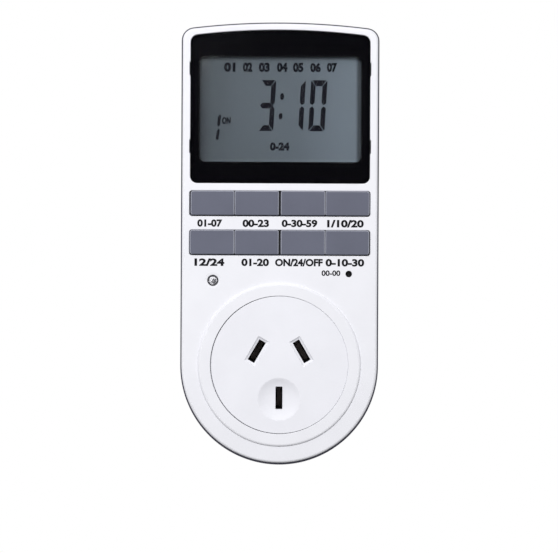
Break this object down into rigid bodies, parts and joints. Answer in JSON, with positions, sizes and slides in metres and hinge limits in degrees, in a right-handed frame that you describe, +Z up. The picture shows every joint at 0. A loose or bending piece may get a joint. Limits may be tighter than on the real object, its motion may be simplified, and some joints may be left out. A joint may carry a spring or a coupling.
{
  "type": "plug-in timer",
  "caption": "Plug-in mains timer with a display in an arched glossy surround, two rows of flat keys, a pilot lamp, a round socket face with flat slots, and flat plug pins behind.",
  "frame": {"origin": "centre of the pin pattern on the plug face, the flat rear boss that meets the wall outlet", "axes": "+Y runs backward along the plug pins, +Z is up towards the display and +X is to the right seen from the front"},
  "size_m": [0.0606, 0.0586, 0.1355],
  "materials": {
    "casing_white": "satin",
    "clear_window": "gloss",
    "surround_black": "gloss",
    "display_glass": "satin",
    "frame_white": "satin",
    "strip_rubber": "matte",
    "key_grey": "satin",
    "button_black": "satin",
    "switch_black": "matte",
    "sheet_steel": "brushed",
    "board_green": "satin",
    "chip_black": "gloss",
    "can_steel": "gloss",
    "lamp_clear": "gloss",
    "insert_white": "satin",
    "carrier_black": "matte",
    "contact_brass": "satin",
    "pin_brass": "polished",
    "sleeve_black": "satin",
    "film_yellow": "satin",
    "can_sleeve": "satin",
    "varistor_blue": "satin",
    "diode_black": "satin",
    "resistor_tan": "satin",
    "relay_case": "satin",
    "relay_iron": "satin",
    "winding_copper": "gloss",
    "lead_sheath": "satin",
    "ribbon_grey": "satin",
    "screw_steel": "satin"
  },
  "bodies": {
    "housing": {"front_casing": "casing_white", "rear_casing": "casing_white", "display_window": "clear_window", "display_surround": "surround_black", "lcd_panel": "display_glass", "lcd_holder": "frame_white", "contact_strip": "strip_rubber", "switch_bases": "switch_black", "switch_covers": "sheet_steel", "control_board": "board_green", "controller_chip": "chip_black", "clock_crystal": "can_steel", "backup_battery": "can_steel", "pilot_lamp": "lamp_clear", "socket_insert": "insert_white", "contact_carrier": "carrier_black", "active_contact": "contact_brass", "neutral_contact": "contact_brass", "earth_contact": "contact_brass", "neutral_strap": "contact_brass", "earth_strap": "contact_brass", "active_pin": "pin_brass", "neutral_pin": "pin_brass", "earth_pin": "pin_brass", "pin_sleeves": "sleeve_black", "pin_holder": "carrier_black", "power_board": "board_green", "dropper_capacitor": "film_yellow", "smoothing_capacitors": "can_sleeve", "varistor": "varistor_blue", "rectifier_diodes": "diode_black", "surge_resistor": "resistor_tan", "relay_base": "relay_case", "relay_cover": "relay_case", "relay_yoke": "relay_iron", "relay_coil": "winding_copper", "relay_fixed_contact": "contact_brass", "mains_leads": "lead_sheath", "ribbon_cable": "ribbon_grey", "small_screws": "screw_steel", "casing_screws": "screw_steel"},
    "week_key": {"week_key": "key_grey", "week_button": "button_black"},
    "hour_key": {"hour_key": "key_grey", "hour_button": "button_black"},
    "minute_key": {"minute_key": "key_grey", "minute_button": "button_black"},
    "recall_key": {"recall_key": "key_grey", "recall_button": "button_black"},
    "clock_key": {"clock_key": "key_grey", "clock_button": "button_black"},
    "timer_key": {"timer_key": "key_grey", "timer_button": "button_black"},
    "mode_key": {"mode_key": "key_grey", "mode_button": "button_black"},
    "random_key": {"random_key": "key_grey", "random_button": "button_black"},
    "reset": {"reset_button": "button_black"},
    "relay_switch": {"relay_armature": "relay_iron", "relay_contact_arm": "contact_brass"}
  },
  "joints": [
    {"name": "week_press", "type": "slide", "parent": "housing", "child": "week_key", "axis": [0, 1, 0], "range_m": [0, 0.0004], "stiffness_N_per_m": 1200, "springref_m": -0.0006},
    {"name": "hour_press", "type": "slide", "parent": "housing", "child": "hour_key", "axis": [0, 1, 0], "range_m": [0, 0.0004], "stiffness_N_per_m": 1200, "springref_m": -0.0006},
    {"name": "minute_press", "type": "slide", "parent": "housing", "child": "minute_key", "axis": [0, 1, 0], "range_m": [0, 0.0004], "stiffness_N_per_m": 1200, "springref_m": -0.0006},
    {"name": "recall_press", "type": "slide", "parent": "housing", "child": "recall_key", "axis": [0, 1, 0], "range_m": [0, 0.0004], "stiffness_N_per_m": 1200, "springref_m": -0.0006},
    {"name": "clock_press", "type": "slide", "parent": "housing", "child": "clock_key", "axis": [0, 1, 0], "range_m": [0, 0.0004], "stiffness_N_per_m": 1200, "springref_m": -0.0006},
    {"name": "timer_press", "type": "slide", "parent": "housing", "child": "timer_key", "axis": [0, 1, 0], "range_m": [0, 0.0004], "stiffness_N_per_m": 1200, "springref_m": -0.0006},
    {"name": "mode_press", "type": "slide", "parent": "housing", "child": "mode_key", "axis": [0, 1, 0], "range_m": [0, 0.0004], "stiffness_N_per_m": 1200, "springref_m": -0.0006},
    {"name": "random_press", "type": "slide", "parent": "housing", "child": "random_key", "axis": [0, 1, 0], "range_m": [0, 0.0004], "stiffness_N_per_m": 1200, "springref_m": -0.0006},
    {"name": "reset_press", "type": "slide", "parent": "housing", "child": "reset", "axis": [0, 1, 0], "range_m": [0, 0.0004], "stiffness_N_per_m": 1200, "springref_m": -0.0006},
    {"name": "relay_close", "type": "hinge", "parent": "housing", "child": "relay_switch", "pos_m": [-0.0059, -0.0203, 0.062], "axis": [0, 0, -1], "range_deg": [0, 2.8], "stiffness_Nm_per_rad": 0.05, "springref_deg": -5.73}
  ]
}
